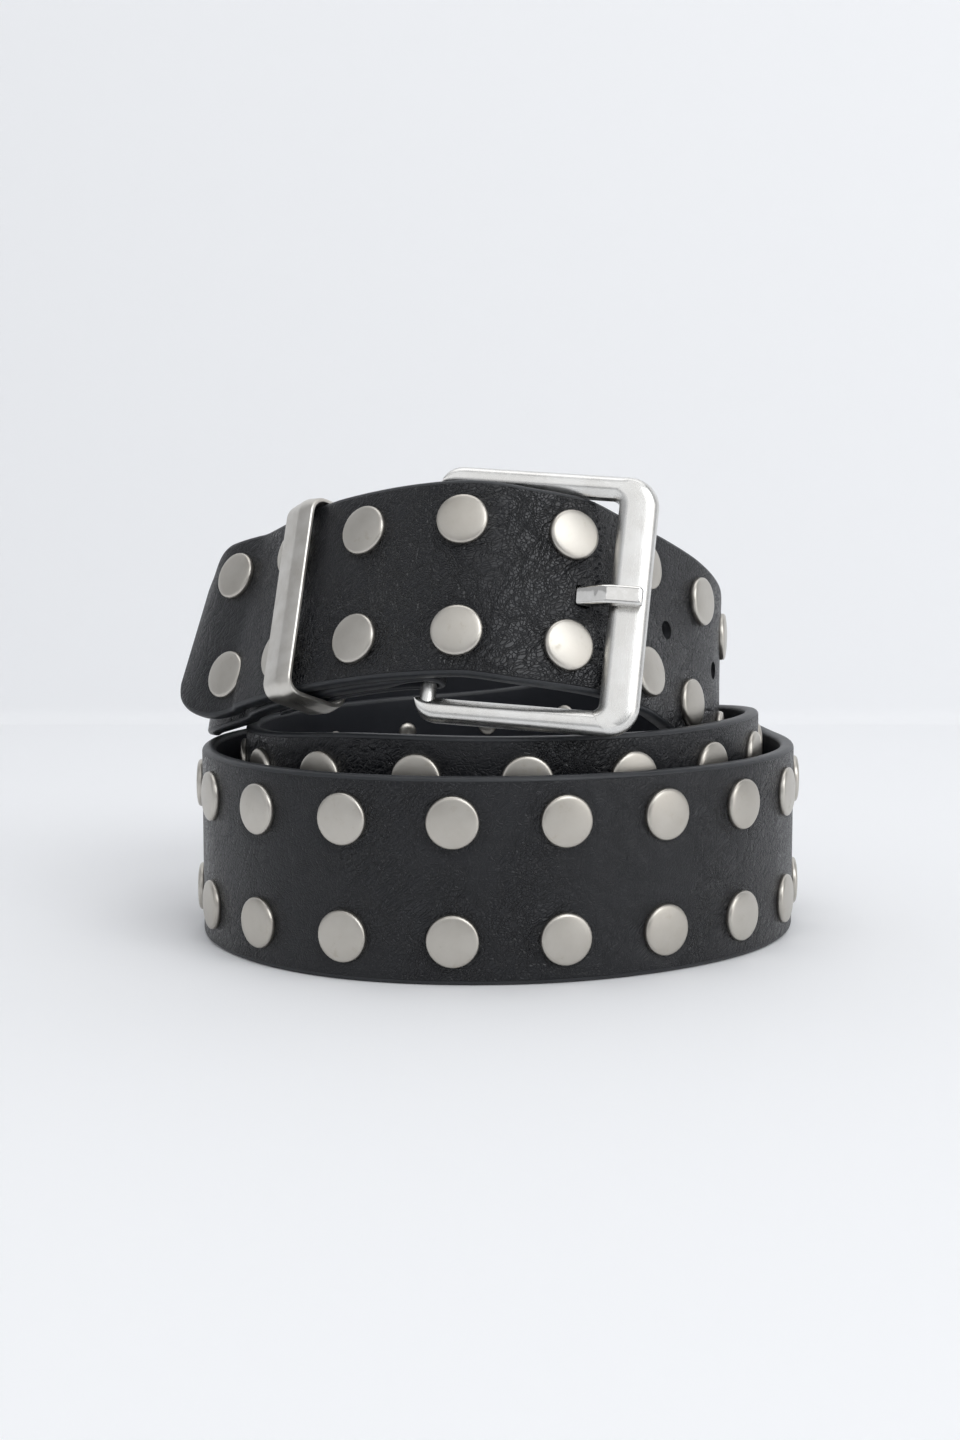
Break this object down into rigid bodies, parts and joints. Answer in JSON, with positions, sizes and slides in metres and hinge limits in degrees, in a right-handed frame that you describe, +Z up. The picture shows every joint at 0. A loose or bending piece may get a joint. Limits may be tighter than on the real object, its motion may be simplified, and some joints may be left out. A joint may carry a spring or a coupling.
{
  "type": "studded leather belt",
  "caption": "Wide leather belt with two rows of domed metal studs, wound in a coil and fastened with a rectangular single-prong buckle and a metal keeper.",
  "frame": {"origin": "middle of the footprint's bounding box, on the surface that the coiled belt stands on", "axes": "+Z up, -Y towards the buckle at the front, +X to the right seen from the front; the coil's winding axis is +Z"},
  "size_m": [0.1528, 0.1558, 0.1115],
  "materials": {
    "studded_leather": "black pebbled leather, semi-gloss, with satin nickel studs",
    "brushed_frame": "bright brushed nickel",
    "polished_prong": "polished nickel",
    "satin_keeper": "warm satin nickel"
  },
  "bodies": {
    "root": {"studded_strap": "studded_leather", "buckle_frame": "brushed_frame", "buckle_prong": "polished_prong", "keeper_loop": "satin_keeper"}
  },
  "joints": []
}
